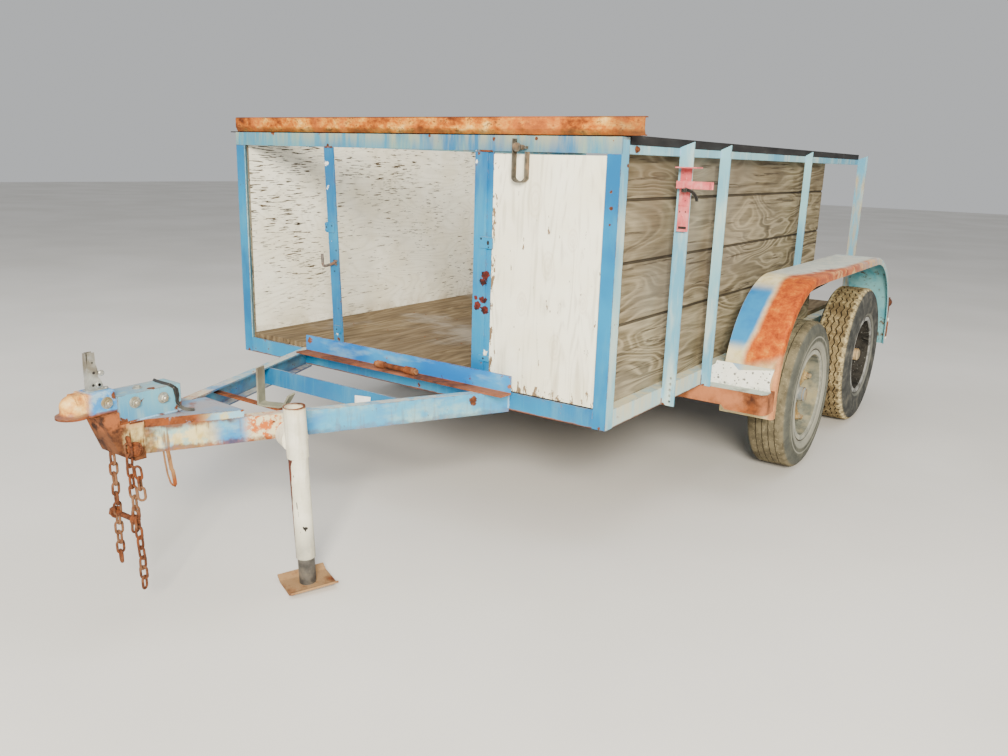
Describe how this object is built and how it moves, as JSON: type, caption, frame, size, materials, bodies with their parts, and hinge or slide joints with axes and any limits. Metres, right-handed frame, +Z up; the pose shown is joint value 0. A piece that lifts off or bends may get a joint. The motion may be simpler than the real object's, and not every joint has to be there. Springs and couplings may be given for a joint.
{
  "type": "utility trailer",
  "caption": "Tandem-axle utility trailer: an open angle-iron box with plank floor and part-boarded sides on an A-frame tongue with a ball coupler and swivel jack.",
  "frame": {"origin": "on the ground, in the middle of the whole outline's length and width", "axes": "+X to the side with the jack (the trailer's left-hand side when towed), +Y to the rear, +Z up"},
  "size_m": [2.376, 4.303, 1.445],
  "materials": {
    "blue_paint": "weathered sky-blue paint with rust at edges",
    "pale_paint": "chalky pale blue paint",
    "rusty_steel": "rough rust",
    "orange_pipe": "mottled orange-yellow rust",
    "dark_strip": "dark weathered strip",
    "planks": "dry grey-brown boards",
    "side_wood": "weathered boards",
    "white_panel": "old white paint",
    "coupler_paint": "worn blue over rust",
    "cream_paint": "stained cream paint",
    "grey_strap": "dull grey strap",
    "galvanised": "dull zinc",
    "red_bracket": "faded red",
    "white_plate": "speckled white",
    "lamp_orange": "lamp lens",
    "tyre_rubber": "dusty",
    "rim_beige": "dusty beige",
    "under_steel": "dark oxide",
    "fender_paint": "blue fading to cream and rust"
  },
  "bodies": {
    "trailer": {"frame_rail_front": "blue_paint", "frame_rail_rear": "blue_paint", "frame_rail_right": "pale_paint", "frame_rail_left": "pale_paint", "corner_post_front_right": "blue_paint", "corner_post_front_left": "blue_paint", "side_posts_right": "pale_paint", "side_posts_left": "pale_paint", "rear_posts": "pale_paint", "front_upright_left": "blue_paint", "front_upright_right": "blue_paint", "top_rail_front": "blue_paint", "top_rail_right": "pale_paint", "top_rail_left": "pale_paint", "side_caps": "dark_strip", "header_channel": "orange_pipe", "floor_joists": "under_steel", "floor_planks": "planks", "side_boards_right": "side_wood", "side_boards_left": "side_wood", "front_panel": "white_panel", "gate_hinges": "rusty_steel", "latch_loop": "galvanised", "extinguisher_bracket": "red_bracket", "tongue_rail_right": "blue_paint", "tongue_rail_left": "blue_paint", "tongue_gusset": "coupler_paint", "tongue_nose": "rusty_steel", "tongue_crossmember": "blue_paint", "tongue_strap": "grey_strap", "tongue_tie": "rusty_steel", "front_sill": "rusty_steel", "sill_roller": "rusty_steel", "coupler_channel": "coupler_paint", "coupler": "coupler_paint", "coupler_latch": "galvanised", "safety_chains": "rusty_steel", "jack_mount": "cream_paint", "axle_front": "under_steel", "axle_rear": "under_steel", "leaf_springs": "under_steel", "spring_hangers": "under_steel", "fender_right": "fender_paint", "fender_left": "fender_paint", "fender_stays": "under_steel", "fender_steps": "rusty_steel", "step_plates": "white_plate", "tail_lamps": "lamp_orange"},
    "wheel_front_left": {"tyre_front_left": "tyre_rubber", "rim_front_left": "rim_beige"},
    "wheel_front_right": {"tyre_front_right": "tyre_rubber", "rim_front_right": "rim_beige"},
    "wheel_rear_left": {"tyre_rear_left": "tyre_rubber", "rim_rear_left": "rim_beige"},
    "wheel_rear_right": {"tyre_rear_right": "tyre_rubber", "rim_rear_right": "rim_beige"},
    "jack_body": {"jack_sleeve": "cream_paint", "jack_tube": "cream_paint"},
    "jack_inner": {"jack_leg": "under_steel", "jack_foot": "cream_paint"}
  },
  "joints": [
    {"name": "wheel_spin_front_left", "type": "hinge", "parent": "trailer", "child": "wheel_front_left", "pos_m": [-1.098, 0.566, 0.33], "axis": [1, 0, 0], "continuous": true},
    {"name": "wheel_spin_front_right", "type": "hinge", "parent": "trailer", "child": "wheel_front_right", "pos_m": [1.098, 0.566, 0.33], "axis": [1, 0, 0], "continuous": true},
    {"name": "wheel_spin_rear_left", "type": "hinge", "parent": "trailer", "child": "wheel_rear_left", "pos_m": [-1.098, 1.511, 0.354], "axis": [1, 0, 0], "continuous": true},
    {"name": "wheel_spin_rear_right", "type": "hinge", "parent": "trailer", "child": "wheel_rear_right", "pos_m": [1.098, 1.511, 0.354], "axis": [1, 0, 0], "continuous": true},
    {"name": "jack_swivel", "type": "hinge", "parent": "trailer", "child": "jack_body", "pos_m": [0.2804, -1.593, 0.476], "axis": [0.9168, -0.3993, 0], "range_deg": [0, 90]},
    {"name": "jack_lift", "type": "slide", "parent": "jack_body", "child": "jack_inner", "axis": [-0.0181, -0.0416, 0.999], "range_m": [0, 0.06]}
  ]
}
